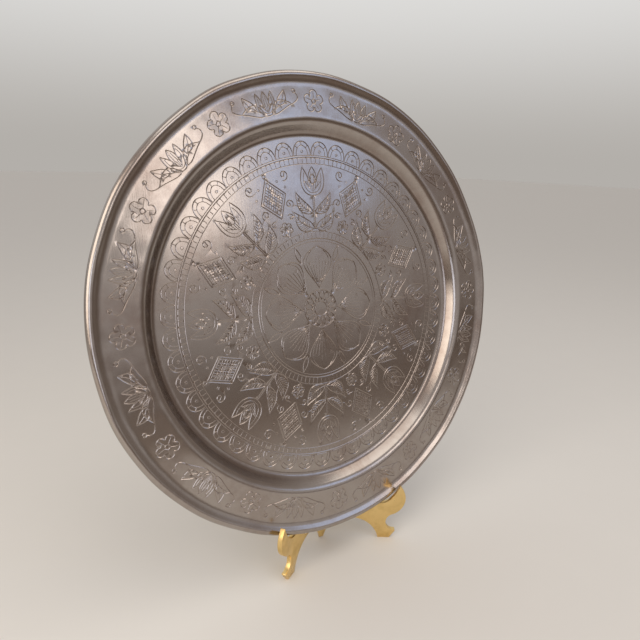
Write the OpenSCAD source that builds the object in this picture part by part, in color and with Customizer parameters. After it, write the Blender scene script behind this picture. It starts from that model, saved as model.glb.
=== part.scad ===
// A round sheet-metal presentation plate with a rolled, wired edge, standing on a folding
// three-legged brass stand. Millimetres, +Z up, and the plate faces -Y.
// The origin is on the table, in the middle of the object's footprint.
// The stand is three flat leaves on one upright pin: two front leaves with hooks that hold
// the plate's edge, and a rear leaf whose stem holds the plate's back.

/* [Plate] */
// Diameter over the rolled edge
plate_d = 340; // [310:1:360]
// Thickness of the sheet
sheet = 1.6; // [1:0.1:2.2]
// Width of the rim, from its shoulder to the rolled edge
rim_w = 26; // [20:0.1:36]
// Width of the well's sloping wall, from its foot out to the shoulder
wall_run = 7.4; // [6:0.1:12]
// Depth of the well below the shoulder
well_depth = 9.2; // [6:0.1:14]
// Fall of the rim from the shoulder to the rolled edge
rim_fall = 1.2; // [0:0.1:3]
// Inside radius of the bend at the shoulder
shoulder_bend = 6; // [2:0.1:8]
// Inside radius of the bend at the foot of the well's wall
well_bend = 6.5; // [2:0.1:8]

/* [Rolled edge] */
// Diameter of the wire that the edge is rolled round
wire_d = 2.8; // [2:0.1:3.6]
// Gap between the wire and the sheet that is rolled round it
wire_gap = 0.1; // [0.05:0.01:0.3]
// Drop of the wire's middle below the rim's outer end
roll_drop = 0.6; // [0.2:0.1:1]
// Angle at which the sheet turns up from the rim onto the roll
flare_turn = 30; // [24:1:46]
// Inside radius of this turn
flare_bend = 10; // [4:0.1:12]
// Width of the slit where the rolled sheet comes round to the rim's back
roll_slit = 0.5; // [0.3:0.1:0.8]

/* [Front legs] */
// Thickness of each leg
leg_t = 3.5; // [2.5:0.1:4.2]
// Angle of each front leg from straight ahead
leg_spread = 58; // [54:0.5:62]
// Gap between the two front legs when they are folded together
fold_gap = 0.4; // [0.3:0.1:1]
// Distance of the hook's middle from the hinge
hook_x = 53.4; // [52.6:0.1:54.6]
// Height of the hook's middle
hook_z = 36.4; // [35.6:0.1:37.2]
// Radius of the hook's outer edge
hook_r = 15.3; // [14.8:0.1:16.2]
// Distance of the front end of the notch's floor from the hinge
notch_x = 48.8; // [48.2:0.1:49.6]
// Height of the notch's floor above the table
notch_z = 32.4; // [31.6:0.1:33.2]
// Length of the notch's flat floor
notch_run = 4.8; // [4:0.1:7]
// Radius of the notch's curve behind its floor
notch_r = 14.3; // [13.8:0.1:14.8]
// Radius of the bend from the notch's floor up to the hook's inner edge
lip_bend = 10; // [9:0.1:11]
// Angle that this bend turns through
lip_turn = 45; // [42:0.5:48]
// Radius of the hook's inner edge above the bend
lip_r = 31.4; // [28:0.1:34]
// Gap between the plate's rolled edge and the notch
seat_gap = 0.3; // [0.2:0.05:0.5]

/* [Feet] */
// Distance of the ankle from the hinge on a front leg
ankle_x = 53.4; // [52.8:0.1:54]
// Radius of the round cut above the toe
ankle_r = 7.4; // [6.9:0.1:7.8]
// Distance from the ankle forward to the end of the foot's flat sole
sole_front = 3.6; // [2.5:0.1:4.5]
// Distance from the ankle back to the other end of the sole
sole_back = 5.9; // [5:0.1:8]
// Distance from the ankle forward to the middle of the toe
toe_x = 7.4; // [6.6:0.1:8.2]
// Radius of the toe
toe_r = 0.8; // [0.5:0.1:1.4]
// Height of the arch under each leg
arch_rise = 18.6; // [15:0.1:20]
// Distance of the arch's inner end from the hinge
arch_in = 0.8; // [0.6:0.1:2]

/* [Front legs behind the plate] */
// Distance of the back curve's middle from the hinge
sweep_x = 43; // [42:0.1:44]
// Height of the back curve's middle
sweep_z = 80; // [79:0.5:82]
// Radius of the back curve
sweep_r = 34.5; // [34:0.1:35.5]

/* [Rear leg] */
// How much farther the rear foot reaches from the hinge than a front foot
rear_more = 4; // [0:0.5:14]
// Radius of the rear leg's knee
knee_r = 10; // [8:0.5:12]
// Angle from the ankle's cut up to the knee's middle, from upright
knee_turn = 30; // [24:1:36]
// Distance of the stem's narrowest back edge from the hinge
stem_back = 10.9; // [9.5:0.1:13]
// Height of the stem's narrowest place
stem_z = 121; // [110:1:124]
// Height of the round head that holds the plate's back
rest_z = 150; // [142:1:158]
// Radius of the round head
rest_r = 5.5; // [5:0.1:6.5]
// Gap between the head and the plate's back
rest_gap = 0.3; // [0.2:0.05:0.5]
// Distance of the stem's front edge from the hinge, above the barrel
stem_front = 4.4; // [4:0.1:5]

/* [Hinge] */
// Diameter of the hinge barrel
barrel_d = 8; // [7.4:0.1:8.4]
// Height of the barrel's top above the table
barrel_top = 84; // [76:1:86]
// Height where the barrel starts to narrow towards its tip
barrel_low = 8; // [7:0.5:10]
// Height of the barrel's lower tip above the table
barrel_tip = 1.8; // [1:0.1:2.5]
// Diameter of the barrel's lower tip
barrel_tip_d = 4.6; // [3:0.1:6]
// Gap between the barrel's top and the plate's back, which sets how far the plate leans
barrel_gap = 2.7; // [0.5:0.05:5]
// Gap between neighbouring knuckles, and round each barrel
knuckle_gap = 0.3; // [0.2:0.05:0.5]
// Diameter of the hinge pin
pin_d = 4; // [3.4:0.1:4.6]
// Gap round the pin where a front leg turns on it
pin_play = 0.05; // [0.03:0.01:0.08]
// Gap round the pin where the rear leg grips it
pin_grip = 0.02; // [0.01:0.01:0.03]
// Height of the pin's lower end above the table
pin_low = 4; // [3:0.5:6]
// Diameter of the pin's domed head
head_d = 6.8; // [6:0.1:7.2]
// Height of the pin's domed head
head_h = 2.2; // [1.5:0.1:3]

/* [Hidden] */
$fn = 96;
// Steps in each bend of the plate's section
bend_steps = 8;
// Steps in the roll
roll_steps = 32;
// Overlap that makes joined solids one
bite = 0.5;
pewter = [0.58, 0.57, 0.56];
iron = [0.45, 0.45, 0.46];
brass = [0.80, 0.64, 0.36];

// The plate's section: distances from its axis, and heights along its normal
bore_r = wire_d / 2 + wire_gap;
roll_r = bore_r + sheet;
roll_x = plate_d / 2 - roll_r;
roll_h = -roll_drop;
roll_mid = [roll_x, roll_h];
// The sheet runs up from the rim's outer end and onto the roll, tangent to it
flare_side = [-sin(flare_turn), cos(flare_turn)];
roll_start = roll_mid + roll_r * flare_side;
rim_end = roll_start.x - roll_start.y / tan(flare_turn);
shoulder_r = rim_end - rim_w;
well_r = shoulder_r - wall_run;
shoulder_h = rim_fall;
well_h = shoulder_h - well_depth;
back_h = well_h - sheet;
// The turn at the rim's outer end takes up no more than the run from there to the roll
rim_slope = atan(rim_fall / rim_w);
flare_run = roll_start.y / sin(flare_turn);
flare_r = min(flare_bend, 0.95 * flare_run / tan((flare_turn + rim_slope) / 2));
// Directions from the roll's middle to where the sheet comes onto the roll and where it ends
roll_from = 90 + flare_turn;
roll_to = roll_from + acos((bore_r - roll_slit) / roll_r) - 360;

// The hinge: seven knuckles, shared out from the lowest up
owners = ["rear", "left", "right", "rear", "left", "right", "rear"];
barrel_r = barrel_d / 2;
pin_r = pin_d / 2;
knuckle_pitch = (barrel_top - barrel_low) / len(owners);

// The foot and the ankle's cut, which is tangent to the hook's outer edge
cut_x = ankle_x + ankle_r;
cut_z = hook_z - sqrt(pow(hook_r + ankle_r, 2) - pow(cut_x - hook_x, 2));
toe_z = cut_z - ankle_r - toe_r;

// The rear leg's knee is tangent to the ankle's cut, and its back edge to the knee
knee_x = cut_x - (knee_r + ankle_r) * sin(knee_turn);
knee_z = cut_z + (knee_r + ankle_r) * cos(knee_turn);
rear_knee = [knee_x + rear_more, knee_z];
stem_lead = stem_back - rear_knee.x;
back_r = (pow(stem_lead, 2) + pow(stem_z - knee_z, 2) - pow(knee_r, 2)) / (2 * (knee_r - stem_lead));
back_mid = [stem_back + back_r, stem_z];

// Directions along a front leg and square to it, away from the other front leg
along = [sin(leg_spread), -cos(leg_spread)];
aside = [cos(leg_spread), sin(leg_spread)];

// The middles of the notch's back curve and front bend, and of the hook's inner edge
notch_back = [notch_x - notch_run, notch_z + notch_r];
notch_front = [notch_x, notch_z + lip_bend];
lip_way = [sin(lip_turn), -cos(lip_turn)];
lip_mid = notch_front - (lip_r - lip_bend) * lip_way;

// The plate's place, with the hinge at x = 0 and y = 0: its roll crosses a front leg's middle
// over the front end of the notch's floor, and it leans back towards the hinge's barrel
seat_xy = notch_x * along + (fold_gap + leg_t) / 2 * aside;
seat_fall = sqrt(pow(roll_x, 2) - pow(seat_xy.x, 2));
notch_edge = concat(
    [for (a = [180:5:270]) notch_back + notch_r * [cos(a), sin(a)]],
    [for (a = [270:5:270 + lip_turn]) notch_front + lip_bend * [cos(a), sin(a)]],
    [for (a = [270 + lip_turn:2:345]) lip_mid + lip_r * [cos(a), sin(a)]]);
notch_sides = [for (p = notch_edge, side = [fold_gap / 2, fold_gap / 2 + leg_t])
    let (xy = p.x * along + side * aside) [xy.x, xy.y, p.y]];
lean = most_lean(0, 30);
plate_y = middle_y(lean);
plate_z = middle_z(lean);

// The middle of the rear leg's head, behind the plate's back
rest_y = back_y(lean, rest_z) + (rest_gap + rest_r) / cos(lean);

// The footprint's middle is the origin, so the hinge stands a little in front of it
front_reach = (hook_x + hook_r) * along.y + fold_gap / 2 * aside.y;
rear_reach = ankle_x + rear_more + toe_x + toe_r;
hinge_y = -(front_reach + rear_reach) / 2;

// The plate's middle at a lean, with its roll over the front end of the notch's floor
function middle_y(tilt) = seat_xy.y + seat_fall * sin(tilt) + roll_h * cos(tilt);

// Gap between the plate's roll and a point of a leg, with the plate's middle at height z
function roll_gap(p, tilt, z) =
    let (y = p.y - middle_y(tilt),
         up = y * sin(tilt) + (p.z - z) * cos(tilt),
         out = (p.z - z) * sin(tilt) - y * cos(tilt))
    norm([norm([p.x, up]) - roll_x, out - roll_h]) - roll_r;

// Height of the plate's middle at which its roll comes seat_gap from the notch, by halving
function let_down(tilt, low, high, tries = 24) =
    let (mid = (low + high) / 2)
    tries == 0 ? mid :
    min([for (p = notch_sides) roll_gap(p, tilt, mid)]) > seat_gap
        ? let_down(tilt, low, mid, tries - 1)
        : let_down(tilt, mid, high, tries - 1);

function middle_z(tilt) =
    let (low = notch_z + seat_fall * cos(tilt))
    let_down(tilt, low, low + notch_r);

// Place of the well's back at height z
function back_y(tilt, z) = middle_y(tilt) + ((z - middle_z(tilt)) * sin(tilt) - back_h) / cos(tilt);

// Lean at which the plate's back comes barrel_gap from the barrel's top, by halving
function most_lean(low, high, tries = 24) =
    let (mid = (low + high) / 2)
    tries == 0 ? mid :
    -barrel_r - back_y(mid, barrel_top) > barrel_gap
        ? most_lean(mid, high, tries - 1)
        : most_lean(low, mid, tries - 1);

function unit(v) = v / norm(v);

// Points of the arc that rounds the corner b of the path a, b, c
function bend(a, b, c, radius) =
    let (u = unit(a - b),
         v = unit(c - b),
         half = acos(u * v) / 2,
         middle = b + unit(u + v) * radius / sin(half),
         from = b + u * radius / tan(half) - middle,
         to = b + v * radius / tan(half) - middle,
         start = atan2(from.y, from.x),
         turn = (atan2(to.y, to.x) - start + 540) % 360 - 180)
    [for (i = [0:bend_steps])
        middle + radius * [cos(start + turn * i / bend_steps), sin(start + turn * i / bend_steps)]];

// The corner b of the path a, b, c, moved square to the path by the sheet's thickness
function behind(a, b, c) =
    let (u = unit(b - a),
         v = unit(c - b),
         m = unit([u.y, -u.x] + [v.y, -v.x]))
    b + m * sheet / (m * [u.y, -u.x]);

// Points of a circle round the roll's middle, from angle to angle
function roll_arc(radius, from, to) =
    [for (i = [0:roll_steps])
        let (a = from + (to - from) * i / roll_steps)
        roll_mid + radius * [cos(a), sin(a)]];

// Section of the sheet: well, wall, rim, and the edge rolled round the wire as far as its slit
module plate_section() {
    middle = [0, well_h];
    foot = [well_r, well_h];
    shoulder = [shoulder_r, shoulder_h];
    end = [rim_end, 0];
    back_foot = behind(middle, foot, shoulder);
    back_shoulder = behind(foot, shoulder, end);
    back_end = behind(shoulder, end, roll_start);
    back_start = roll_mid + bore_r * flare_side;
    back_middle = middle - [0, sheet];
    polygon(concat(
        [middle],
        bend(middle, foot, shoulder, well_bend),
        bend(foot, shoulder, end, shoulder_bend + sheet),
        bend(shoulder, end, roll_start, flare_r),
        roll_arc(roll_r, roll_from, roll_to),
        roll_arc(bore_r, roll_to, roll_from),
        bend(back_start, back_end, back_shoulder, flare_r + sheet),
        bend(back_end, back_shoulder, back_foot, shoulder_bend),
        bend(back_shoulder, back_foot, back_middle, well_bend + sheet),
        [back_middle]));
}

// Puts a shape made round the plate's axis, front towards +Z, where the plate stands
module on_stand() {
    translate([0, hinge_y + plate_y, plate_z]) rotate([90 - lean, 0, 0]) children();
}

module plate() {
    color(pewter) on_stand() rotate_extrude($fn = 180) plate_section();
}

module rim_wire() {
    color(iron) on_stand() rotate_extrude($fn = 180)
        translate(roll_mid) circle(wire_d / 2);
}

// Arch between the hinge and a foot, as a circle through both its ends and its crown
module arch_cut(foot_in) {
    span = foot_in - arch_in;
    radius = (pow(span / 2, 2) + pow(arch_rise, 2)) / (2 * arch_rise);
    translate([arch_in + span / 2, arch_rise - radius]) circle(radius);
}

// Notch that the plate's roll sits in, and the hook's inner edge in front of it
module notch_cut() {
    translate(notch_back) circle(notch_r);
    translate(notch_front) circle(lip_bend);
    translate([notch_back.x, notch_z]) square([notch_run, notch_r]);
    intersection() {
        translate(lip_mid) circle(lip_r, $fn = 180);
        polygon([lip_mid, lip_mid + 2 * lip_r * lip_way, lip_mid + [2 * lip_r, 0]]);
    }
}

// Outline of a front leg, x along the leg from the hinge and y up
module front_outline() {
    hook = [hook_x, hook_z];
    cut = [cut_x, cut_z];
    toe = [ankle_x + toe_x, toe_z];
    difference() {
        union() {
            polygon([[0, 0], [ankle_x + sole_front, 0], toe + toe_r * [sin(45), -cos(45)], toe + [0, toe_r],
                cut, hook + hook_r * unit(cut - hook), hook, [hook_x, barrel_top], [0, barrel_top]]);
            translate(hook) circle(hook_r);
            translate(toe) circle(toe_r);
        }
        translate(cut) circle(ankle_r);
        translate([sweep_x, sweep_z]) circle(sweep_r);
        notch_cut();
        arch_cut(ankle_x - sole_back);
    }
}

// Outline of the rear leg, x along the leg from the hinge and y up
module rear_outline() {
    ankle = ankle_x + rear_more;
    cut = [cut_x + rear_more, cut_z];
    toe = [ankle + toe_x, toe_z];
    difference() {
        union() {
            polygon([[0, 0], [ankle + sole_front, 0], toe + toe_r * [sin(45), -cos(45)], toe + [0, toe_r],
                cut, rear_knee + knee_r * unit(cut - rear_knee), rear_knee,
                rear_knee + knee_r * unit(back_mid - rear_knee), back_mid, [rest_y, rest_z],
                [rest_y - rest_r, rest_z], [stem_front, barrel_top], [0, barrel_top]]);
            translate(rear_knee) circle(knee_r);
            translate(toe) circle(toe_r);
        }
        translate(cut) circle(ankle_r);
        translate(back_mid) circle(back_r, $fn = 240);
        arch_cut(ankle - sole_back);
    }
    translate([rest_y, rest_z]) circle(rest_r);
}

// Height of knuckle i's lower end
function knuckle_z(i) = barrel_low + i * knuckle_pitch;

// One leg at the hinge, along +X: its leaf from side to side + leg_t, cut clear of the other
// legs' knuckles, with its own knuckles on the pin
module leaf(owner, side, play) {
    mine = [for (i = [0:len(owners) - 1]) if (owners[i] == owner) i];
    others = [for (i = [0:len(owners) - 1]) if (owners[i] != owner) i];
    difference() {
        union() {
            difference() {
                translate([0, side + leg_t, 0]) rotate([90, 0, 0]) linear_extrude(leg_t) children();
                for (i = others) translate([0, 0, knuckle_z(i) - knuckle_gap / 2])
                    cylinder(h = knuckle_pitch + knuckle_gap, r = barrel_r + knuckle_gap);
                if (owner != "rear") cylinder(h = barrel_low + bite, r = barrel_r + knuckle_gap);
            }
            for (i = mine) translate([0, 0, knuckle_z(i) + knuckle_gap / 2])
                cylinder(h = knuckle_pitch - knuckle_gap, r = barrel_r);
            if (owner == "rear") {
                translate([0, 0, barrel_tip])
                    cylinder(h = barrel_low - barrel_tip, r1 = barrel_tip_d / 2, r2 = barrel_r);
                translate([0, 0, barrel_low]) cylinder(h = bite, r = barrel_r);
            }
        }
        translate([0, 0, pin_low]) cylinder(h = barrel_top, r = pin_r + play);
    }
}

// The right front leg's place; the left one is its mirror image
module front_leg(owner) {
    rotate(leg_spread - 90) leaf(owner, fold_gap / 2, pin_play) front_outline();
}

module right_front_leg() {
    color(brass) translate([0, hinge_y, 0]) front_leg("right");
}

module left_front_leg() {
    color(brass) translate([0, hinge_y, 0]) mirror([1, 0, 0]) front_leg("left");
}

module rear_leg() {
    color(brass) translate([0, hinge_y, 0]) rotate(90) leaf("rear", -leg_t / 2, pin_grip) rear_outline();
}

module hinge_pin() {
    dome_r = (pow(head_d / 2, 2) + pow(head_h, 2)) / (2 * head_h);
    top = barrel_top - knuckle_gap / 2;
    color(brass) translate([0, hinge_y, 0]) {
        translate([0, 0, pin_low]) cylinder(h = top - pin_low + bite, r = pin_r);
        intersection() {
            translate([0, 0, top + head_h - dome_r]) sphere(dome_r);
            translate([0, 0, top]) cylinder(h = head_h, r = head_d / 2 + bite);
        }
    }
}

plate();
rim_wire();
left_front_leg();
right_front_leg();
rear_leg();
hinge_pin();
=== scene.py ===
"""Engraved pewter presentation plate on a folding brass stand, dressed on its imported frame."""

import math

import bmesh
import bpy
import numpy as np
from bpy.props import FloatProperty, FloatVectorProperty, IntProperty, PointerProperty, StringProperty
from bpy.types import Operator, Panel, PropertyGroup
from mathutils import Matrix, Vector
from mathutils.geometry import delaunay_2d_cdt
from mathutils.kdtree import KDTree


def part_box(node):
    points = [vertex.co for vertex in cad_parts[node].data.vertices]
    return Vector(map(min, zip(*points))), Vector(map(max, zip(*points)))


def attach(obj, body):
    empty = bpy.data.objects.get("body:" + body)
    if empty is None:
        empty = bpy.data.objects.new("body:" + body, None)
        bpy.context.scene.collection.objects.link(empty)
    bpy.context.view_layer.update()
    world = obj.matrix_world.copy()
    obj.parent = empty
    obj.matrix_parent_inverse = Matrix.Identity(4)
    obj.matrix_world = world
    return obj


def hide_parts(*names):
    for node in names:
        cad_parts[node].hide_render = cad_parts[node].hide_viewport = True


bl_info = {
    "name": "Presentation Plate",
    "version": (1, 0, 0),
    "blender": (4, 5, 0),
    "location": "View3D > Sidebar > Plate",
    "description": "Dresses an engraved plate and its folding stand on their packed frame",
    "category": "Object",
}

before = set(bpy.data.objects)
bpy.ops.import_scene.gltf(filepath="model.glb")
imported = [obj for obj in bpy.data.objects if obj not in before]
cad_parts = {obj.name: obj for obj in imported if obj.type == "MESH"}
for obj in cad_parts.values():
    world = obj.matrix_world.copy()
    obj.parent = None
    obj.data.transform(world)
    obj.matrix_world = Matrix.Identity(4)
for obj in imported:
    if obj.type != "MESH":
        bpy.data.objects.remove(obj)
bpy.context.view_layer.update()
MM = 0.001


# Helpers

def linear(code):
    """An sRGB hex colour as linear RGBA."""
    parts = [int(code[i:i + 2], 16) / 255 for i in (1, 3, 5)]
    return [p / 12.92 if p <= 0.04045 else ((p + 0.055) / 1.055) ** 2.4 for p in parts] + [1.0]


def add(tree, kind, settings=None, inputs=None):
    """Adds a node to a tree, with its settings, and its inputs as values or links."""
    made = tree.nodes.new(kind)
    for name, value in (settings or {}).items():
        setattr(made, name, value)
    for name, value in (inputs or {}).items():
        if isinstance(value, bpy.types.NodeSocket):
            tree.links.new(value, made.inputs[name])
        else:
            made.inputs[name].default_value = value
    return made


def finished(name, mesh, material, body, slot, *nodes):
    """Makes a piece of a mesh, on its body, in place of its CAD nodes."""
    piece = bpy.data.objects.new(name, mesh)
    bpy.context.scene.collection.objects.link(piece)
    mesh.materials.clear()
    mesh.materials.append(material)
    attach(piece, body)
    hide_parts(*nodes)


def through_nodes(mesh, tree, values):
    """The plain mesh that a Geometry Nodes tree makes of a mesh, with the tree's inputs set by name."""
    carrier = bpy.data.objects.new(tree.name, mesh)
    bpy.context.scene.collection.objects.link(carrier)
    modifier = carrier.modifiers.new(tree.name, "NODES")
    modifier.node_group = tree
    for item in tree.interface.items_tree:
        if item.in_out == "INPUT" and item.name in values:
            modifier[item.identifier] = values[item.name]
    evaluated = carrier.evaluated_get(bpy.context.evaluated_depsgraph_get())
    made = bpy.data.meshes.new_from_object(evaluated)
    bpy.data.objects.remove(carrier)
    return made


# Settings

class PlateSettings(PropertyGroup):
    """Sizes and colours of the plate."""
    wire_d: FloatProperty(
        name="Wire", description="Diameter of the wire in the roll", default=2.8 * MM, unit="LENGTH")
    wire_gap: FloatProperty(
        name="Wire gap", description="Gap round the wire", default=0.1 * MM, unit="LENGTH")
    roll_drop: FloatProperty(
        name="Roll drop", description="Drop of the roll's middle below the rim",
        default=0.6 * MM, unit="LENGTH")
    flare_turn: FloatProperty(
        name="Flare", description="Angle at which the rim turns up onto the roll",
        default=math.radians(30), subtype="ANGLE")
    flare_bend: FloatProperty(
        name="Flare bend", description="Inside radius of this turn", default=10 * MM, unit="LENGTH")
    roll_slit: FloatProperty(
        name="Roll slit", description="Slit where the roll comes round", default=0.5 * MM, unit="LENGTH")
    sheet: FloatProperty(
        name="Sheet", description="Thickness of the sheet", default=1.6 * MM, unit="LENGTH")
    rim_w: FloatProperty(
        name="Rim", description="Width of the rim", default=26 * MM, unit="LENGTH")
    rim_fall: FloatProperty(
        name="Rim fall", description="Fall of the rim to the roll", default=1.2 * MM, unit="LENGTH")
    wall_run: FloatProperty(
        name="Wall", description="Width of the well's sloping wall", default=7.4 * MM, unit="LENGTH")
    well_depth: FloatProperty(
        name="Well depth", description="Depth of the well", default=9.2 * MM, unit="LENGTH")
    shoulder_bend: FloatProperty(
        name="Shoulder bend", description="Inside radius at the shoulder", default=6 * MM, unit="LENGTH")
    well_bend: FloatProperty(
        name="Well bend", description="Inside radius at the wall's foot", default=6.5 * MM, unit="LENGTH")
    bold_cut: FloatProperty(
        name="Outline cut", description="Width of an engraved outline", default=0.85 * MM, unit="LENGTH")
    fine_cut: FloatProperty(
        name="Shading cut", description="Width of an engraved shading line",
        default=0.55 * MM, unit="LENGTH")
    cut_slope: FloatProperty(
        name="Cut slope", description="Depth of a cut for each unit of half its width", default=0.4)
    dents: FloatProperty(
        name="Dents", description="Unevenness left by the hammer", default=0.04 * MM, unit="LENGTH")
    rim_wave: FloatProperty(
        name="Rim wave", description="Unevenness of the hand-raised rim", default=0.35 * MM, unit="LENGTH")
    well_wave: FloatProperty(
        name="Well wave", description="Unevenness of the hand-raised well", default=0.1 * MM, unit="LENGTH")
    # Painted shade: a darker ring painted at the foot of the well's wall, its radius and how far it reaches
    painted_shade_r: FloatProperty(
        name="Grime ring", description="Radius of the grime at the wall's foot",
        default=129.5 * MM, unit="LENGTH")
    painted_shade_w: FloatProperty(
        name="Grime reach", description="How far the grime reaches to each side",
        default=4 * MM, unit="LENGTH")
    sides: IntProperty(name="Sides", description="Steps round the plate", default=288, min=96)
    metal: StringProperty(name="Metal", description="Clean pewter, sRGB hex", default="#aba39d")
    tarnish: StringProperty(name="Tarnish", description="Warm tarnish, sRGB hex", default="#928279")
    # Colour of the shade painted at the wall's foot
    painted_shade: StringProperty(name="Painted shade", description="Grime at the wall's foot, sRGB hex", default="#6a5347")
    cut_tone: StringProperty(name="Cut tone", description="Metal in the cuts, sRGB hex", default="#9a8d84")
    iron: StringProperty(name="Iron", description="The wire's iron, sRGB hex", default="#73737a")
    rust: StringProperty(name="Rust", description="Rust on the wire, sRGB hex", default="#6b4a38")


class StandSettings(PropertyGroup):
    """Sizes and colours of the stand."""
    edge: FloatProperty(
        name="Edge", description="Radius on the cast legs' edges", default=0.55 * MM, unit="LENGTH")
    brass: StringProperty(name="Brass", description="Cast brass, sRGB hex", default="#eccd8c")
    patina: StringProperty(name="Patina", description="Darker patina, sRGB hex", default="#d8b979")


class StageSettings(PropertyGroup):
    """The floor, the light and the camera."""
    floor: StringProperty(
        name="Floor", description="Colour of the paper floor, sRGB hex", default="#dcd9d4")
    # Painted shade: the darker colour painted on the floor well in front of the plate
    ground: StringProperty(
        name="Ground", description="Colour of the floor well in front of the plate, sRGB hex",
        default="#8a7a6c")
    eye: FloatVectorProperty(
        name="Camera", description="Where the camera stands", size=3, subtype="XYZ",
        default=(-230.2 * MM, -350.01 * MM, 303.56 * MM), unit="LENGTH")
    heading: FloatProperty(
        name="Heading", description="Turn of the view from +Y towards +X",
        default=math.radians(33.55), subtype="ANGLE")
    pitch: FloatProperty(
        name="Pitch", description="Fall of the view", default=math.radians(15.875), subtype="ANGLE")
    roll: FloatProperty(
        name="Roll", description="Turn of the camera round its view",
        default=math.radians(1.85), subtype="ANGLE")
    lens: FloatProperty(
        name="Lens", description="Focal length on a 36 mm frame, in millimetres", default=31.89)


# The plate's section and place

def bend(a, b, c, radius, steps=10):
    """Points of the arc that rounds the corner b of the path a, b, c."""
    u, v = (a - b) / np.linalg.norm(a - b), (c - b) / np.linalg.norm(c - b)
    half = math.acos(u @ v) / 2
    middle = b + (u + v) / np.linalg.norm(u + v) * radius / math.sin(half)
    start = b + u * radius / math.tan(half) - middle
    stop = b + v * radius / math.tan(half) - middle
    first = math.atan2(start[1], start[0])
    turn = (math.atan2(stop[1], stop[0]) - first + 3 * math.pi) % (2 * math.pi) - math.pi
    angles = first + turn * np.linspace(0, 1, steps + 1)
    return [middle + radius * np.array([math.cos(t), math.sin(t)]) for t in angles]


def arc(middle, radius, first, last, steps):
    """Points of an arc, with its angles in degrees."""
    return [middle + radius * np.array([math.cos(t), math.sin(t)])
            for t in np.radians(np.linspace(first, last, steps + 1))]


def behind(a, b, c, sheet):
    """The corner b of the path a, b, c on the sheet's other side."""
    u, v = (b - a) / np.linalg.norm(b - a), (c - b) / np.linalg.norm(c - b)
    side = np.array([u[1], -u[0]])
    m = side + np.array([v[1], -v[0]])
    m /= np.linalg.norm(m)
    return b + m * sheet / (m @ side)


def plate_section(s):
    """The plate's section in mm: its front, the way on round the roll to the back, and the well's floor."""
    sheet, bore_r = s.sheet / MM, s.wire_d / 2 / MM + s.wire_gap / MM
    roll_r = bore_r + sheet
    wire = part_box("rim_wire")
    roll = np.array([(wire[1][0] - wire[0][0]) / 2 / MM - s.wire_d / 2 / MM, -s.roll_drop / MM])
    side = np.array([-math.sin(s.flare_turn), math.cos(s.flare_turn)])
    start, back_start = roll + roll_r * side, roll + bore_r * side
    end = np.array([start[0] - start[1] / math.tan(s.flare_turn), 0])
    shoulder = np.array([end[0] - s.rim_w / MM, s.rim_fall / MM])
    foot = np.array([shoulder[0] - s.wall_run / MM, shoulder[1] - s.well_depth / MM])
    middle = np.array([0, foot[1]])
    back_middle = middle - [0, sheet]
    back_foot = behind(middle, foot, shoulder, sheet)
    back_shoulder = behind(foot, shoulder, end, sheet)
    back_end = behind(shoulder, end, start, sheet)
    first = 90 + math.degrees(s.flare_turn)
    last = first + math.degrees(math.acos((bore_r - s.roll_slit / MM) / roll_r)) - 360
    front = (bend(middle, foot, shoulder, s.well_bend / MM)
             + bend(foot, shoulder, end, s.shoulder_bend / MM + sheet))
    rest = (bend(shoulder, end, start, s.flare_bend / MM)
            + arc(roll, roll_r, first, last, 40)
            + arc(roll, bore_r, last, first, 20)
            + bend(back_start, back_end, back_shoulder, s.flare_bend / MM + sheet, 5)
            + bend(back_end, back_shoulder, back_foot, s.shoulder_bend / MM, 5)
            + bend(back_shoulder, back_foot, back_middle, s.well_bend / MM + sheet, 6)
            + [np.array([foot[0] * k, back_middle[1]]) for k in (0.75, 0.5, 0.25)]
            + [back_middle])
    return np.array(front + rest[:1]), np.array(rest), middle[1]


def plate_place(s):
    """The matrix from the plate's own frame, front towards +Z, to where it leans on its stand."""
    low, high = (Vector(corner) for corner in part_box("rim_wire"))
    half = (high - low) / 2
    lean = math.asin((half.y - s.wire_d / 2) / (half.x - s.wire_d / 2))
    up = Vector((0, math.sin(lean), math.cos(lean)))
    face = Vector((0, -math.cos(lean), math.sin(lean)))
    place = Matrix((Vector((1, 0, 0)), up, face)).transposed().to_4x4()
    place.translation = (low + high) / 2 + s.roll_drop * face
    return place


# The engraved design: motifs as lines in mm, drawn upright above the plate's middle

# Radius of the rim's middle
RIM_R = 149
# Distance between the points of an engraved line
LINE_STEP = 1.5
# Points of the plate's mesh that are closer than this are merged, on its front and where it meets the roll
FRONT_WELD, ROLL_WELD = 0.02, 0.015


def mirrored(lines):
    """Lines and their mirror images."""
    return lines + [(points * (-1, 1), kind) for points, kind in lines]


def bent(lines, radius):
    """Lines drawn on a straight band, bent round the plate at a radius."""
    def wrapped(x, y):
        return np.stack([y * np.sin(x / radius), y * np.cos(x / radius)], 1)

    return [(wrapped(*points.T), kind) for points, kind in lines]


def curve(a, b, c, d, steps=14):
    """A Bezier curve."""
    t = np.linspace(0, 1, steps + 1)[:, None]
    a, b, c, d = (np.array(p, float) for p in (a, b, c, d))
    return (1 - t) ** 3 * a + 3 * (1 - t) ** 2 * t * b + 3 * (1 - t) * t ** 2 * c + t ** 3 * d


def oval(x, y, wide, high, first=0, last=360, steps=24):
    """An ellipse, or a part of one from angle to angle in degrees."""
    t = np.radians(np.linspace(first, last, steps + 1))
    return np.stack([x + wide * np.cos(t), y + high * np.sin(t)], 1)


def curl(x, y, radius, first, turns, steps=26):
    """A tendril that winds in to a point."""
    t = np.linspace(0, 1, steps + 1)
    angle = np.radians(first) + turns * 2 * math.pi * t
    reach = radius * (1 - 0.85 * t)
    return np.stack([x + reach * np.cos(angle), y + reach * np.sin(angle)], 1)


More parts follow.
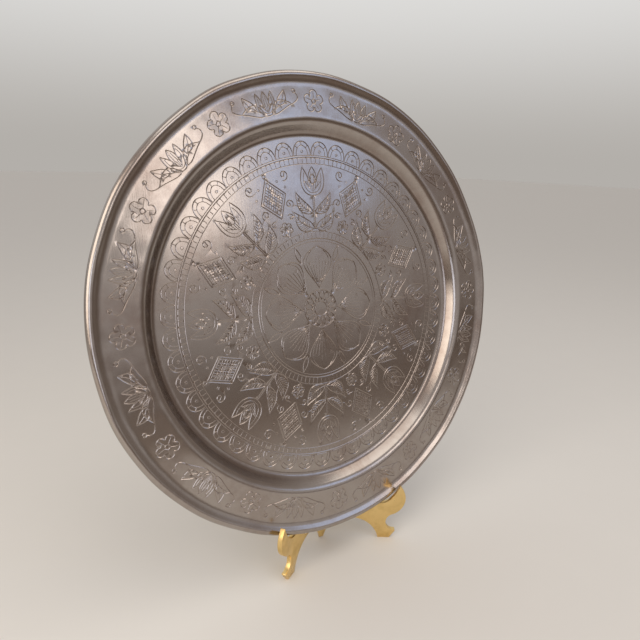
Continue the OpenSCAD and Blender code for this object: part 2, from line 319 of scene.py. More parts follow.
def blossom(y, radius, petals):
    """A round flower with an eye and a vein in each petal."""
    t = np.linspace(0, 2 * math.pi, 12 * petals + 1)
    lobes = 0.56 + 0.44 * np.sqrt(np.abs(np.cos(petals * t / 2)))
    lines = [(np.stack([radius * lobes * np.sin(t), y + radius * lobes * np.cos(t)], 1), "bold"),
             (oval(0, y, 0.2 * radius, 0.2 * radius, steps=12), "bold")]
    for angle in np.arange(petals) * 2 * math.pi / petals:
        ray = np.array([math.sin(angle), math.cos(angle)]) * radius
        lines.append((np.array([[0, y] + 0.3 * ray, [0, y] + 0.62 * ray]), "fine"))
    return lines


def leaf(base, tip, width, bow=0.1, veins=5):
    """A pointed leaf from base to tip, with a mid vein and side veins."""
    base, tip = np.array(base, float), np.array(tip, float)
    along = tip - base
    across = np.array([-along[1], along[0]]) / np.linalg.norm(along)
    length = np.linalg.norm(along)

    def at(s, side):
        s = np.atleast_1d(s)
        half = width / 2 * np.sin(math.pi * s ** 0.8)
        off = bow * length * np.sin(math.pi * s) + side * half
        return base + s[:, None] * along + off[:, None] * across

    s = np.linspace(0, 1, 14)
    lines = [(at(s, 1), "bold"), (at(s, -1), "bold"), (at(np.linspace(0.03, 0.8, 8), 0), "fine")]
    for start in np.linspace(0.18, 0.68, veins):
        for side in (1, -1):
            lines.append((np.concatenate([at(start, 0), at(start + 0.12, 0.75 * side)]), "fine"))
    return lines


def tulip(y, height, width):
    """A flower of three petals, with shading at its foot."""
    def at(*pairs):
        return [(width * u, y + height * v) for u, v in pairs]

    lines = [
        (curve(*at((0, 0), (-0.45, 0), (-0.62, 0.45), (-0.42, 1))), "bold"),
        (curve(*at((-0.42, 1), (-0.28, 0.82), (-0.2, 0.68), (-0.17, 0.52)), steps=8), "bold"),
        (curve(*at((-0.17, 0.52), (-0.22, 0.75), (-0.08, 0.92), (0, 1.02)), steps=8), "bold"),
        (curve(*at((-0.03, 0.1), (-0.3, 0.12), (-0.44, 0.42), (-0.36, 0.8)), steps=10), "fine"),
        (np.array(at((-0.07, 0.5), (-0.05, 0.8))), "fine"),
    ]
    lines += [(np.array(at((-k, 0.14 + k), (-1.35 * k, 0.42 + k / 3))), "fine")
              for k in (0.03, 0.1, 0.17, 0.24)]
    return mirrored(lines)


def rim_flower():
    """Five-petalled flower in the middle of the rim."""
    return blossom(RIM_R, 8.1, 5)


def rim_spray():
    """Tulip between curling leaves, for the rim."""
    side = leaf((3, 142), (20.5, 147), 7.4, 0.14, 0) + leaf((8.6, 147), (16, 156.8), 6, -0.12, 0)
    side += [(curve((20.5, 147), (25, 148.5), (28, 151), (24.5, 154.4)), "bold"),
             (oval(23.6, 155.8, 1.4, 1.4, steps=10), "bold")]
    return bent(tulip(141.3, 16, 14) + mirrored(side), RIM_R)


def well_scallop():
    """Shaded scallop for the border inside the well."""
    foot = 113.6
    lines = [(oval(0, foot, 7.3, 9.4, 0, 180), "bold"), (oval(0, foot, 4.9, 6.5, 0, 180, 14), "fine")]
    for angle in np.radians((45, 90, 135)):
        ray = np.array([math.cos(angle), math.sin(angle)])
        lines.append((np.array([[0, foot] + ray * (5.3, 7.0), [0, foot] + ray * (6.6, 8.7)]), "fine"))
    return bent(lines + [(oval(0, 115.8, 1.1, 1.1, steps=8), "fine")], 115)


def border_tick():
    """Short stroke of the ladder inside the scalloped border."""
    return [(np.array([[0, 107.9], [0, 110.5]]), "fine")]


def centre_tick():
    """Short stroke of the ladder round the middle flower."""
    return [(np.array([[0, 53.6], [0, 57]]), "fine")]


def well_spray():
    """Upright flowering stem in the well."""
    side = leaf((0.7, 60), (17.5, 72), 9.5, -0.14, 7) + leaf((0.7, 71), (15, 86), 7.6, -0.14, 6)
    side += [(curve((0.6, 58.8), (0.6, 67), (0.6, 76), (0.6, 84), steps=16), "bold"),
             (curl(21, 78, 3.6, 200, -1.25), "bold"),
             (curve((8.5, 67), (12, 75), (15, 78.5), (17.6, 76.8), steps=10), "fine")]
    head = tulip(84, 20.4, 20) + [(oval(0, 96, 2.4, 3.4, steps=14), "bold")]
    return head + mirrored(side)


def well_lozenge():
    """Cross-hatched lozenge with flowers at its ends, between two sprays."""
    middle = np.array([0, 88])
    lines = []
    for k, kind in ((1, "bold"), (0.82, "fine")):
        corners = np.array([(0, -15), (11, 0), (0, 15), (-11, 0), (0, -15)]) * k + middle
        lines += [(np.linspace(a, b, 7), kind) for a, b in zip(corners[:-1], corners[1:])]
    for step in np.linspace(-0.66, 0.66, 6):
        a = np.array([(-0.5 + step / 2) * 8.6, (0.5 + step / 2) * 11.8])
        b = np.array([(0.5 + step / 2) * 8.6, (-0.5 + step / 2) * 11.8])
        lines += mirrored([(np.linspace(a, b, 6) + middle, "fine")])
    side = [(curl(15, 100.4, 4, 250, 1.3), "bold"), (curl(7.4, 71.2, 2.6, 120, -1.2), "bold"),
            (oval(8.2, 98.4, 0.9, 0.9, steps=8), "fine"), (oval(12.8, 92.4, 0.9, 0.9, steps=8), "fine")]
    return lines + mirrored(side) + blossom(64.6, 5.4, 6) + [(oval(0, 105, 1.3, 1.3, steps=10), "bold")]


def centre_petal():
    """Large shaded petal of the flower in the middle."""
    def at(s, k):
        half = 12.4 * k * np.sin(math.pi * np.clip(s, 0, 1) ** 1.5) ** 0.8
        return half, 15.5 + 31.5 * s

    s = np.linspace(0, 1, 20)
    side = [(np.stack(at(s, 1), 1), "bold"), (np.stack(at(np.linspace(0.2, 0.9, 12), 0.8), 1), "fine")]
    for k in (0.12, 0.34, 0.56):
        t = np.linspace(0.1 + 0.1 * k, 0.72 - 0.28 * k, 8)
        half, high = at(t, k)
        side.append((np.stack([half, high], 1), "fine"))
    dart = [(curve((0, 50.3), (-1.6, 46), (-3.2, 43), (0, 37.5), steps=8), "bold")]
    turn = math.radians(22.5)
    spin = np.array([[math.cos(turn), -math.sin(turn)], [math.sin(turn), math.cos(turn)]])
    return mirrored(side) + [(points @ spin, kind) for points, kind in mirrored(dart)]


def centre_eye():
    """Small petal round the eye of the middle flower."""
    return mirrored([(curve((0, 6.6), (-2.6, 8.6), (-2.6, 11.6), (0, 13.6), steps=7), "bold")])


# Motifs with their number of copies and the first copy's turn in degrees
RINGS = ((rim_flower, 12, 0), (rim_spray, 12, 15), (well_scallop, 48, 3.75), (border_tick, 180, 0),
         (well_spray, 8, 0), (well_lozenge, 8, 22.5), (centre_tick, 96, 0), (centre_petal, 8, 0),
         (centre_eye, 16, 11.25))
# Engraved circles, by radius in mm
CIRCLES = ((5.4, "bold"), (14.4, "bold"), (50.6, "fine"), (52.6, "bold"), (57.9, "fine"), (107, "fine"),
           (111.4, "bold"), (112.8, "fine"))


def opened_tree(name, inputs):
    """A new Geometry Nodes tree, and the sockets of its named inputs."""
    tree = bpy.data.node_groups.new(name, "GeometryNodeTree")
    for label, kind in inputs.items():
        tree.interface.new_socket(label, in_out="INPUT", socket_type=f"NodeSocket{kind}")
    tree.interface.new_socket("Made", in_out="OUTPUT", socket_type="NodeSocketGeometry")
    return tree, add(tree, "NodeGroupInput").outputs


def closed_tree(tree, shape, metal):
    """Ends a tree with a real mesh of the shape, in its metal."""
    real = add(tree, "GeometryNodeRealizeInstances", inputs={"Geometry": shape})
    dressed = add(tree, "GeometryNodeSetMaterial", inputs={"Geometry": real.outputs[0], "Material": metal})
    add(tree, "NodeGroupOutput", inputs={0: dressed.outputs[0]})
    return tree


def ring_tree():
    """Geometry Nodes: copies of a motif, turned step by step round the plate's middle."""
    tree, given = opened_tree("ring_of_motifs", {
        "Motif": "Geometry", "Copies": "Int", "First turn": "Float", "Metal": "Material"})
    step = add(tree, "ShaderNodeMath", {"operation": "DIVIDE"}, {0: 2 * math.pi, 1: given["Copies"]})
    index = add(tree, "GeometryNodeInputIndex")
    turn = add(tree, "ShaderNodeMath", {"operation": "MULTIPLY_ADD"},
               {0: index.outputs[0], 1: step.outputs[0], 2: given["First turn"]})
    euler = add(tree, "ShaderNodeCombineXYZ", inputs={"Z": turn.outputs[0]})
    spin = add(tree, "FunctionNodeEulerToRotation", inputs={0: euler.outputs[0]})
    points = add(tree, "GeometryNodePoints", inputs={"Count": given["Copies"]})
    copies = add(tree, "GeometryNodeInstanceOnPoints", inputs={
        "Points": points.outputs[0], "Instance": given["Motif"], "Rotation": spin.outputs[0]})
    return closed_tree(tree, copies.outputs[0], given["Metal"])


def turned_tree():
    """Geometry Nodes: a section swept round the plate's axis, as on a lathe."""
    tree, given = opened_tree("turned_section", {
        "Section": "Geometry", "Sides": "Int", "Path radius": "Float", "Metal": "Material"})
    path = add(tree, "GeometryNodeCurvePrimitiveCircle", inputs={
        "Resolution": given["Sides"], "Radius": given["Path radius"]})
    section = add(tree, "GeometryNodeMeshToCurve", inputs={0: given["Section"]})
    swept = add(tree, "GeometryNodeCurveToMesh", inputs={
        "Curve": path.outputs["Curve"], "Profile Curve": section.outputs[0]})
    return closed_tree(tree, swept.outputs[0], given["Metal"])


def line_mesh(lines, widths):
    """Lines as a mesh of edges, with half of each cut's width on its points."""
    points, edges, halves = [], [], []
    for line, kind in lines:
        lengths = np.concatenate([[0], np.cumsum(np.linalg.norm(np.diff(line, axis=0), axis=1))])
        count = max(2, int(round(lengths[-1] / LINE_STEP)) + 1)
        even = np.linspace(0, lengths[-1], count)
        start = len(points)
        points += list(zip(np.interp(even, lengths, line[:, 0]), np.interp(even, lengths, line[:, 1])))
        edges += [(start + i, start + i + 1) for i in range(count - 1)]
        halves += [widths[kind]] * count
    mesh = bpy.data.meshes.new("motif")
    mesh.from_pydata([(x, y, 0) for x, y in points], edges, [])
    mesh.attributes.new("half_width", "FLOAT", "POINT").data.foreach_set("value", halves)
    return mesh


def engraved_lines(s, metal):
    """Points, edges and half widths in mm of every engraved line."""
    widths = {"bold": s.bold_cut / 2 / MM, "fine": s.fine_cut / 2 / MM}
    tree = ring_tree()
    meshes = [through_nodes(line_mesh(motif(), widths), tree,
                            {"Copies": copies, "First turn": math.radians(turn), "Metal": metal})
              for motif, copies, turn in RINGS]
    for radius, kind in CIRCLES:
        circle = oval(0, 0, radius, radius, steps=max(24, int(2.4 * radius)))
        meshes.append(line_mesh([(circle, kind)], widths))
    points, edges, halves, count = [], [], [], 0
    for mesh in meshes:
        flat = np.empty(3 * len(mesh.vertices), np.float32)
        mesh.vertices.foreach_get("co", flat)
        ends = np.empty(2 * len(mesh.edges), np.int32)
        mesh.edges.foreach_get("vertices", ends)
        half = np.empty(len(mesh.vertices), np.float32)
        mesh.attributes["half_width"].data.foreach_get("value", half)
        points.append(flat.reshape(-1, 3)[:, :2].astype(float))
        edges.append(ends.reshape(-1, 2) + count)
        halves.append(half)
        count += len(half)
    return np.concatenate(points), np.concatenate(edges), np.concatenate(halves)


def cut_sides(points, edges, halves):
    """Points on both sides of each engraved line, at the edges of its cut."""
    run = np.zeros_like(points)
    way = points[edges[:, 1]] - points[edges[:, 0]]
    for column in (0, 1):
        np.add.at(run, edges[:, column], way)
    run /= np.maximum(np.linalg.norm(run, axis=1), 1e-9)[:, None]
    side = np.stack([-run[:, 1], run[:, 0]], 1) * halves[:, None]
    return np.concatenate([points + side, points - side])


def tree_of(points):
    """Search tree of points in the plane."""
    tree = KDTree(len(points))
    for i, (x, y) in enumerate(points):
        tree.insert((x, y, 0), i)
    tree.balance()
    return tree


def unevenness(s, points):
    """How far the hand-raised sheet stands off its true form in mm: along the plate's axis, and outwards."""
    x, y = points[:, 0], points[:, 1]
    radius, angle = np.hypot(x, y), np.arctan2(y, x)
    wall_r, rim_run = 132, 30
    # From 0 in the well to 1 at the roll
    rim = np.clip((radius - wall_r) / rim_run, 0, 1)
    # Long waves over the well, waves up and down and in and out along the rim, and short blows of the hammer
    well = (np.sin(x / 17 + 1.3) * np.sin(y / 21 + 0.4) + 0.7 * np.sin((x + y) / 27 + 2)
            + 0.5 * np.sin((x - 2 * y) / 33))
    wave = np.sin(3 * angle + 0.6) + 0.6 * np.sin(5 * angle + 2.1) + 0.35 * np.sin(9 * angle + 0.3)
    edge = 0.7 * np.sin(7 * angle + 1.1) + 0.5 * np.sin(13 * angle) + 0.3 * np.sin(22 * angle + 0.7)
    blows = (np.sin(x / 2.9 + 0.7 * np.sin(y / 7)) * np.sin(y / 2.5 + 0.9 * np.sin(x / 6))
             + 0.8 * np.sin((x + 1.7 * y) / 6.1))
    hammer = s.dents / MM * np.clip((radius - 120) / 20, 0.15, 1) * blows
    # The sheet is true where the stand's hooks hold its edge
    still, calm = np.ones_like(x), 30
    for hook_x, hook_y in ((-42, -160), (42, -160)):
        still *= 1 - np.exp(-((x - hook_x) ** 2 + (y - hook_y) ** 2) / calm ** 2)
    off = s.well_wave / MM * well * (1 - rim) + s.rim_wave / MM * rim * wave + hammer
    return off * still, s.rim_wave / MM * rim * edge * still


def cut_depths(spots, lines, edges, halves):
    """How far into a cut each point lies, from 0 at its edge to 1 in its middle, and half its width."""
    # The lines with five points more on each of their stretches
    steps = np.linspace(0, 1, 6, endpoint=False)[1:]
    dense = np.concatenate([lines] + [lines[edges[:, 0]] * (1 - t) + lines[edges[:, 1]] * t for t in steps])
    half = np.concatenate([halves] + [halves[edges[:, 0]]] * len(steps))
    near = tree_of(dense)
    cut, width = np.zeros(len(spots)), np.zeros(len(spots))
    for i, (x, y) in enumerate(spots):
        _, j, gap = near.find((x, y, 0))
        cut[i], width[i] = max(0, 1 - gap / half[j]), half[j]
    return cut, width


def plain_points(front, near):
    """Points a few mm apart on the flat of the well and on the rim, clear of the engraved lines."""
    well_step, rim_step, spacing, clear = 3.4, 3.2, 3.6, 1.3
    well = np.arange(3, front[0][0] - 1, well_step)
    rim = np.arange(front[-2][0] + rim_step / 2, front[-1][0] - 1, rim_step)
    points = []
    for r in np.concatenate([well, rim]):
        count = max(8, int(2 * math.pi * r / spacing))
        for turn in (np.arange(count) + 0.5 * (int(r) % 2)) * 2 * math.pi / count:
            x, y = r * math.cos(turn), r * math.sin(turn)
            if near.find((x, y, 0))[2] > clear:
                points.append((x, y))
    return np.array(points)


def engraved_front(s, front, well_h, metal):
    """The plate's front in mm: points, faces and how far each point lies in a cut."""
    lines, edges, halves = engraved_lines(s, metal)
    turns = np.arange(s.sides) * 2 * math.pi / s.sides
    circle = np.stack([np.cos(turns), np.sin(turns)], 1)
    rings = [r * circle for r, _ in front]
    plain = plain_points(front, tree_of(lines))
    inner = np.concatenate([lines, cut_sides(lines, edges, halves), plain] + rings[:-1])
    border = [(len(inner) + i, len(inner) + (i + 1) % s.sides) for i in range(s.sides)]
    given = [Vector(p) for p in np.concatenate([inner, rings[-1]])]
    spots, _, faces = delaunay_2d_cdt(given, edges.tolist() + border, [], 0, FRONT_WELD)[:3]
    spots = np.array([tuple(p) for p in spots])
    radius = np.hypot(spots[:, 0], spots[:, 1])
    heights = np.interp(radius, np.append(0, front[:, 0]), np.append(well_h, front[:, 1]))
    cut, width = cut_depths(spots, lines, edges, halves)
    return np.column_stack([spots, heights - cut * width * s.cut_slope]), faces, cut


def turned(s, section, edges, metal):
    """A section in mm, turned round the plate's axis."""
    # Radius of the circle that the section is swept along, from which it's drawn
    path = 100
    mesh = bpy.data.meshes.new("section")
    mesh.from_pydata([(r - path, -h, 0) for r, h in section], edges, [])
    tree = bpy.data.node_groups.get("turned_section") or turned_tree()
    return through_nodes(mesh, tree, {"Sides": s.sides, "Path radius": path, "Metal": metal})


def settled(s, shape):
    """Gives a shape in mm the sheet's unevenness and puts it where the plate leans."""
    places = np.array([v.co for v in shape.verts])
    off, out = unevenness(s, places[:, :2])
    grown = 1 + out / np.maximum(np.hypot(places[:, 0], places[:, 1]), 1)
    places = np.column_stack([places[:, 0] * grown, places[:, 1] * grown, places[:, 2] + off]) * MM
    place = plate_place(s)
    for corner, spot in zip(shape.verts, places):
        corner.co = place @ Vector(spot)
    return places


def plate_mesh(s, metal):
    """The whole plate as one closed mesh: engraved front, rolled edge and plain back."""
    front, rest, well_h = plate_section(s)
    points, faces, cut = engraved_front(s, front, well_h, metal)
    shape = bmesh.new()
    depth = shape.verts.layers.float.new("cut")
    corners = [shape.verts.new(p) for p in points]
    for corner, value in zip(corners, cut):
        corner[depth] = value
    for face in faces:
        shape.faces.new([corners[i] for i in face])
    shape.from_mesh(turned(s, rest, [(i, i + 1) for i in range(len(rest) - 1)], metal))
    bmesh.ops.remove_doubles(shape, verts=shape.verts, dist=ROLL_WELD)
    bmesh.ops.recalc_face_normals(shape, faces=shape.faces)
    plan = shape.loops.layers.uv.new("plan")
    places = settled(s, shape)
    for face in shape.faces:
        face.smooth = True
        for loop in face.loops:
            loop[plan].uv = places[loop.vert.index, :2]
    mesh = bpy.data.meshes.new("engraved_plate")
    shape.to_mesh(mesh)
    shape.free()
    mesh.set_sharp_from_angle(angle=math.radians(16))
    return mesh


def wire_mesh(s, metal):
    """The round wire inside the roll, following its edge."""
    low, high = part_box("rim_wire")
    radius, steps = s.wire_d / 2 / MM, 24
    middle = np.array([(high[0] - low[0]) / 2 / MM - radius, -s.roll_drop / MM])
    section = arc(middle, radius, 0, 360, steps)[:-1]
    shape = bmesh.new()
    shape.from_mesh(turned(s, section, [(i, (i + 1) % steps) for i in range(steps)], metal))
    bmesh.ops.recalc_face_normals(shape, faces=shape.faces)
    settled(s, shape)
    for face in shape.faces:
        face.smooth = True
    mesh = bpy.data.meshes.new("drawn_rim_wire")
    shape.to_mesh(mesh)
    shape.free()
    return mesh


def rounded_leaf(node, radius):
    """A CAD leaf of the stand with its cast edges rounded, clear of the hinge."""
    shape = bmesh.new()
    shape.from_mesh(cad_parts[node].data)
    bmesh.ops.remove_doubles(shape, verts=shape.verts, dist=1e-6)
    bmesh.ops.dissolve_limit(shape, angle_limit=math.radians(0.5), verts=shape.verts, edges=shape.edges)
    low, high = (Vector(corner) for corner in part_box("hinge_pin"))
    hinge, clear = ((low + high) / 2).xy, 7 * MM
    edges = [e for e in shape.edges if e.is_manifold and e.calc_face_angle_signed() > math.radians(50)
             and all((v.co.xy - hinge).length > clear for v in e.verts)]
    bmesh.ops.bevel(shape, geom=edges, offset=radius, segments=3, profile=0.5, affect="EDGES",
                    clamp_overlap=True)
    bmesh.ops.remove_doubles(shape, verts=shape.verts, dist=1e-6)
    for face in shape.faces:
        face.smooth = True
    mesh = bpy.data.meshes.new(node)
    shape.to_mesh(mesh)
    shape.free()
    mesh.set_sharp_from_angle(angle=math.radians(32))
    return mesh


# Materials

def shader(name):
    """A new material's node tree and its Principled node."""
    material = bpy.data.materials.new(name)
    material.use_nodes = True
    return material, material.node_tree, material.node_tree.nodes["Principled BSDF"]


def aged_pewter(s):
    """Raised pewter sheet, rubbed with use: soft grey gloss, warm tarnish, painted shade at the wall's foot,
    rubbing marks, bright cuts.
    """
    material, tree, metal = shader("aged_pewter")
    plan = add(tree, "ShaderNodeUVMap", {"uv_map": "plan"}).outputs[0]
    cut = add(tree, "ShaderNodeAttribute", {"attribute_name": "cut"}).outputs["Fac"]
    # Clouds of tarnish about 60 mm across, and mottling of 5 mm
    clouds = add(tree, "ShaderNodeTexNoise", inputs={
        "Vector": plan, "Scale": 1 / 0.06, "Detail": 4.0, "Roughness": 0.6})
    mottle = add(tree, "ShaderNodeTexNoise", inputs={
        "Vector": plan, "Scale": 1 / 0.005, "Detail": 5.0, "Roughness": 0.65})
    cloudy = add(tree, "ShaderNodeMath", {"operation": "MULTIPLY_ADD"},
                 {0: mottle.outputs["Fac"], 1: 0.35, 2: clouds.outputs["Fac"]})
    spread = add(tree, "ShaderNodeMapRange", {"interpolation_type": "SMOOTHSTEP"},
                 {"Value": cloudy.outputs[0], "From Min": 0.55, "From Max": 1.05})
    tone = add(tree, "ShaderNodeMix", {"data_type": "RGBA"},
               {0: spread.outputs[0], 6: linear(s.metal), 7: linear(s.tarnish)})
    # Painted shade: a darker ring, in clouds, at the foot of the well's wall
    reach = add(tree, "ShaderNodeVectorMath", {"operation": "LENGTH"}, {0: plan})
    off = add(tree, "ShaderNodeMath", {"operation": "SUBTRACT"}, {0: reach.outputs["Value"], 1: s.painted_shade_r})
    gap = add(tree, "ShaderNodeMath", {"operation": "ABSOLUTE"}, {0: off.outputs[0]})
    foot = add(tree, "ShaderNodeMapRange", {"interpolation_type": "SMOOTHSTEP"},
               {"Value": gap.outputs[0], "From Min": s.painted_shade_w, "From Max": 0.0, "To Max": 0.55})
    painted_shade_fac = add(tree, "ShaderNodeMath", {"operation": "MULTIPLY"},
                {0: foot.outputs[0], 1: cloudy.outputs[0]})
    tone = add(tree, "ShaderNodeMix", {"data_type": "RGBA"},
               {0: painted_shade_fac.outputs[0], 6: tone.outputs[2], 7: linear(s.painted_shade)})
    cuts = add(tree, "ShaderNodeMix", {"data_type": "RGBA"},
               {0: cut, 6: tone.outputs[2], 7: linear(s.cut_tone)})
    tree.links.new(cuts.outputs[2], metal.inputs["Base Color"])
    metal.inputs["Metallic"].default_value = 1.0
    gloss = add(tree, "ShaderNodeMapRange", inputs={
        "Value": cloudy.outputs[0], "From Min": 0.45, "From Max": 0.95, "To Min": 0.16, "To Max": 0.26})
    tree.links.new(gloss.outputs[0], metal.inputs["Roughness"])
    # Rubbing marks in two directions, 0.7 mm wide so that they show, and 25 mm long
    marks = None
    for turn, width in ((0.5, 0.0007), (-0.9, 0.0009)):
        lay = add(tree, "ShaderNodeMapping", inputs={
            "Vector": plan, "Rotation": (0, 0, turn), "Scale": (1 / width, 1 / 0.025, 1)})
        rub = add(tree, "ShaderNodeTexNoise", inputs={
            "Vector": lay.outputs[0], "Scale": 1.0, "Detail": 2.0})
        marks = rub if marks is None else add(tree, "ShaderNodeMath", {"operation": "ADD"},
                                              {0: marks.outputs[0], 1: rub.outputs["Fac"]})
    bump = add(tree, "ShaderNodeBump", inputs={
        "Strength": 0.07, "Distance": 0.0002, "Height": marks.outputs[0]})
    tree.links.new(bump.outputs[0], metal.inputs["Normal"])
    return material


def cast_brass(s):
    """Sand-cast brass with a satin polish: warm gold, slightly grainy, darker where it is less rubbed."""
    material, tree, metal = shader("cast_brass")
    spot = add(tree, "ShaderNodeTexCoord").outputs["Object"]
    # Patina in patches of 12 mm, and casting grain of 0.8 mm
    patches = add(tree, "ShaderNodeTexNoise", inputs={
        "Vector": spot, "Scale": 1 / 0.012, "Detail": 4.0, "Roughness": 0.6})
    grain = add(tree, "ShaderNodeTexNoise", inputs={"Vector": spot, "Scale": 1 / 0.0008, "Detail": 2.0})
    worn = add(tree, "ShaderNodeMapRange", {"interpolation_type": "SMOOTHSTEP"},
               {"Value": patches.outputs["Fac"], "From Min": 0.4, "From Max": 0.72})
    tone = add(tree, "ShaderNodeMix", {"data_type": "RGBA"},
               {0: worn.outputs[0], 6: linear(s.brass), 7: linear(s.patina)})
    tree.links.new(tone.outputs[2], metal.inputs["Base Color"])
    metal.inputs["Metallic"].default_value = 1.0
    gloss = add(tree, "ShaderNodeMapRange", inputs={
        "Value": patches.outputs["Fac"], "From Min": 0.3, "From Max": 0.75, "To Min": 0.26, "To Max": 0.42})
    tree.links.new(gloss.outputs[0], metal.inputs["Roughness"])
    bump = add(tree, "ShaderNodeBump", inputs={
        "Strength": 0.15, "Distance": 0.0003, "Height": grain.outputs["Fac"]})
    tree.links.new(bump.outputs[0], metal.inputs["Normal"])
    return material


def drawn_iron(s):
    """Drawn iron wire, dull grey with a trace of rust, seen only through the roll's slit."""
    material, tree, metal = shader("drawn_iron_wire")
    spot = add(tree, "ShaderNodeTexCoord").outputs["Object"]
    # Rust in specks of 3 mm
    specks = add(tree, "ShaderNodeTexNoise", inputs={"Vector": spot, "Scale": 1 / 0.003, "Detail": 4.0})
    rusty = add(tree, "ShaderNodeMapRange", inputs={
        "Value": specks.outputs["Fac"], "From Min": 0.5, "From Max": 0.7})
    tone = add(tree, "ShaderNodeMix", {"data_type": "RGBA"},
               {0: rusty.outputs[0], 6: linear(s.iron), 7: linear(s.rust)})
    tree.links.new(tone.outputs[2], metal.inputs["Base Color"])
    metal.inputs["Metallic"].default_value = 0.9
    metal.inputs["Roughness"].default_value = 0.5
    return material


def matte_paper(s):
    """Matte studio paper with a faint mottle, pale round the plate, with painted shade darkening it well in
    front of it.
    """
    material, tree, paper = shader("studio_paper")
    spot = add(tree, "ShaderNodeTexCoord").outputs["Object"]
    # Painted shade: the floor darkens well in front of the plate, out of the camera's sight, and the plate's
    # lower half mirrors it
    place = add(tree, "ShaderNodeSeparateXYZ", inputs={0: spot})
    front = add(tree, "ShaderNodeMapRange", {"interpolation_type": "SMOOTHSTEP"},
                {"Value": place.outputs["Y"], "From Min": -0.36, "From Max": -0.62})
    plain = add(tree, "ShaderNodeMix", {"data_type": "RGBA"},
                {0: front.outputs[0], 6: linear(s.floor), 7: linear(s.ground)})
    # Mottle of 40 mm
    mottle = add(tree, "ShaderNodeTexNoise", inputs={"Vector": spot, "Scale": 1 / 0.04, "Detail": 3.0})
    faint = add(tree, "ShaderNodeMapRange", inputs={"Value": mottle.outputs["Fac"], "To Min": 0.98})
    tone = add(tree, "ShaderNodeMix", {"data_type": "RGBA", "blend_type": "MULTIPLY"},
               {0: 1.0, 6: plain.outputs[2], 7: faint.outputs[0]})
    tree.links.new(tone.outputs[2], paper.inputs["Base Color"])
    paper.inputs["Roughness"].default_value = 0.9
    return material


# Stage

# Lamps that the plate mirrors: name, place, width and height, power in watts and colour
LAMPS = (
    ("window", (-0.777, -0.356, 0.56), (0.7, 0.85), 4.1, "#fff3e4"),
    ("door", (-0.45, -0.95, 0.3), (0.37, 0.56), 1.1, "#e6eeff"),
    ("ceiling", (0.15, -0.35, 1.25), (1.1, 0.6), 2.9, "#fffaf2"),
    ("front", (0.31, -1.17, 0.7), (0.38, 0.42), 1.1, "#fff6ef"),
    ("sky", (0.64, -0.97, 0.73), (0.33, 0.48), 0.5, "#a4c8ff"),
)
# The plate's middle, at which every lamp aims
LAMP_AIM = (0.0, -0.01, 0.2)


def paper_floor(s):
    """A wide sheet of paper under the stand."""
    reach = 9
    mesh = bpy.data.meshes.new("floor")
    mesh.from_pydata([(-reach, -reach, 0), (reach, -reach, 0), (reach, reach, 0), (-reach, reach, 0)],
                     [], [(0, 1, 2, 3)])
    mesh.materials.append(matte_paper(s))
    floor = bpy.data.objects.new("floor", mesh)
    bpy.context.scene.collection.objects.link(floor)


def plain_room():
    """A plain room: a pale wall behind the plate, paler higher up, and a front that darkens to the right."""
    world = bpy.data.worlds.new("studio")
    world.use_nodes = True
    tree = world.node_tree
    way = add(tree, "ShaderNodeTexCoord").outputs["Generated"]
    parts = add(tree, "ShaderNodeSeparateXYZ", inputs={0: way})
    height = add(tree, "ShaderNodeMapRange", {"interpolation_type": "SMOOTHSTEP"},
                 {"Value": parts.outputs["Z"], "From Min": 0.0, "From Max": 0.3})
    wall = add(tree, "ShaderNodeMix", {"data_type": "RGBA"},
               {0: height.outputs[0], 6: linear("#b3afaa"), 7: linear("#e0dfdd")})
    right = add(tree, "ShaderNodeMapRange", {"interpolation_type": "SMOOTHSTEP"},
                {"Value": parts.outputs["X"], "From Min": 0.55, "From Max": 0.85})
    front = add(tree, "ShaderNodeMix", {"data_type": "RGBA"},
                {0: right.outputs[0], 6: linear("#c5bfbc"), 7: linear("#978c84")})
    back = add(tree, "ShaderNodeMapRange", {"interpolation_type": "SMOOTHSTEP"},
               {"Value": parts.outputs["Y"], "From Min": 0.08, "From Max": 0.42})
    room = add(tree, "ShaderNodeMix", {"data_type": "RGBA"},
               {0: back.outputs[0], 6: front.outputs[2], 7: wall.outputs[2]})
    tree.links.new(room.outputs[2], tree.nodes["Background"].inputs["Color"])
    return world


def soft_lamp(name, place, size, power, colour):
    """A soft lamp that faces the plate."""
    lamp = bpy.data.lights.new(name, "AREA")
    lamp.shape = "RECTANGLE"
    lamp.size, lamp.size_y = size
    lamp.energy = power
    lamp.color = linear(colour)[:3]
    holder = bpy.data.objects.new(name, lamp)
    holder.location = place
    holder.rotation_euler = (Vector(LAMP_AIM) - Vector(place)).to_track_quat("-Z", "Y").to_euler()
    bpy.context.scene.collection.objects.link(holder)


def tilted_camera(s):
    """The camera, turned by its heading, pitch and roll."""
    view = Vector((math.sin(s.heading) * math.cos(s.pitch), math.cos(s.heading) * math.cos(s.pitch),
                   -math.sin(s.pitch)))
    level = view.cross(Vector((0, 0, 1))).normalized()
    across = Matrix.Rotation(-s.roll, 3, view) @ level
    turn = Matrix((across, across.cross(view), -view)).transposed()
    lens = bpy.data.cameras.new("camera")
    lens.sensor_width = 36
    lens.lens = s.lens
    lens.clip_start = 0.01
    camera = bpy.data.objects.new("camera", lens)
    camera.matrix_world = Matrix.Translation(s.eye) @ turn.to_4x4()
    bpy.context.scene.collection.objects.link(camera)
    return camera


# Operators

class PLATE_OT_engraved_plate(Operator):
    """Build the engraved plate with its rolled edge"""
    bl_idname = "presentation_plate.engraved_plate"
    bl_label = "Engraved plate"

    def execute(self, context):
        s = context.scene.plate_settings
        metal = aged_pewter(s)
        finished("engraved_plate", plate_mesh(s, metal), metal, "plate", "pewter", "plate")
        return {"FINISHED"}


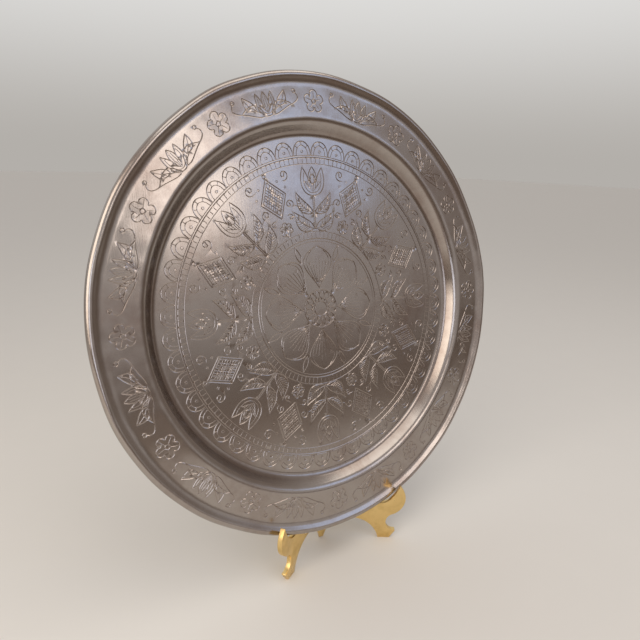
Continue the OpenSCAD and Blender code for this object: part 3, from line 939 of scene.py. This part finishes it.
class PLATE_OT_rim_wire(Operator):
    """Build the wire in the rolled edge"""
    bl_idname = "presentation_plate.rim_wire"
    bl_label = "Rim wire"

    def execute(self, context):
        s = context.scene.plate_settings
        iron = drawn_iron(s)
        finished("drawn_rim_wire", wire_mesh(s, iron), iron, "plate", "iron_wire", "rim_wire")
        return {"FINISHED"}


class PLATE_OT_stand(Operator):
    """Build the stand's three cast legs and give the hinge pin its brass"""
    bl_idname = "presentation_plate.stand"
    bl_label = "Folding stand"

    def execute(self, context):
        s = context.scene.stand_settings
        brass = cast_brass(s)
        legs = {"left_front_leg": "left_leg", "right_front_leg": "right_leg", "rear_leg": "stand"}
        for node, body in legs.items():
            finished(f"cast_{node}", rounded_leaf(node, s.edge), brass, body, "brass", node)
        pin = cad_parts["hinge_pin"]
        pin.data.materials.clear()
        pin.data.materials.append(brass)
        return {"FINISHED"}


class PLATE_OT_stage(Operator):
    """Build the pale floor, the studio light and the camera"""
    bl_idname = "presentation_plate.stage"
    bl_label = "Stage"

    def execute(self, context):
        scene = context.scene
        s = scene.stage_settings
        scene.view_settings.view_transform = "Standard"
        paper_floor(s)
        scene.world = plain_room()
        for lamp in LAMPS:
            soft_lamp(*lamp)
        scene.camera = tilted_camera(s)
        return {"FINISHED"}


class PLATE_PT_panel(Panel):
    """Pieces of the presentation plate"""
    bl_label = "Presentation Plate"
    bl_idname = "PLATE_PT_panel"
    bl_space_type = "VIEW_3D"
    bl_region_type = "UI"
    bl_category = "Plate"

    def draw(self, context):
        for operator in OPERATORS:
            self.layout.operator(operator.bl_idname)
        for name, group in GROUPS.items():
            for setting in group.__annotations__:
                self.layout.prop(getattr(context.scene, name), setting)


GROUPS = {"plate_settings": PlateSettings, "stand_settings": StandSettings, "stage_settings": StageSettings}
OPERATORS = (PLATE_OT_engraved_plate, PLATE_OT_rim_wire, PLATE_OT_stand, PLATE_OT_stage)


def register():
    """Adds the add-on's classes and settings."""
    for kind in (*GROUPS.values(), *OPERATORS, PLATE_PT_panel):
        bpy.utils.register_class(kind)
    for name, group in GROUPS.items():
        setattr(bpy.types.Scene, name, PointerProperty(type=group))


def unregister():
    """Removes them again."""
    for name in GROUPS:
        delattr(bpy.types.Scene, name)
    for kind in (PLATE_PT_panel, *reversed(OPERATORS), *reversed(GROUPS.values())):
        bpy.utils.unregister_class(kind)


def main():
    """Builds every piece and the stage."""
    register()
    bpy.ops.presentation_plate.stage()
    bpy.ops.presentation_plate.engraved_plate()
    bpy.ops.presentation_plate.rim_wire()
    bpy.ops.presentation_plate.stand()


if __name__ == "__main__":
    main()
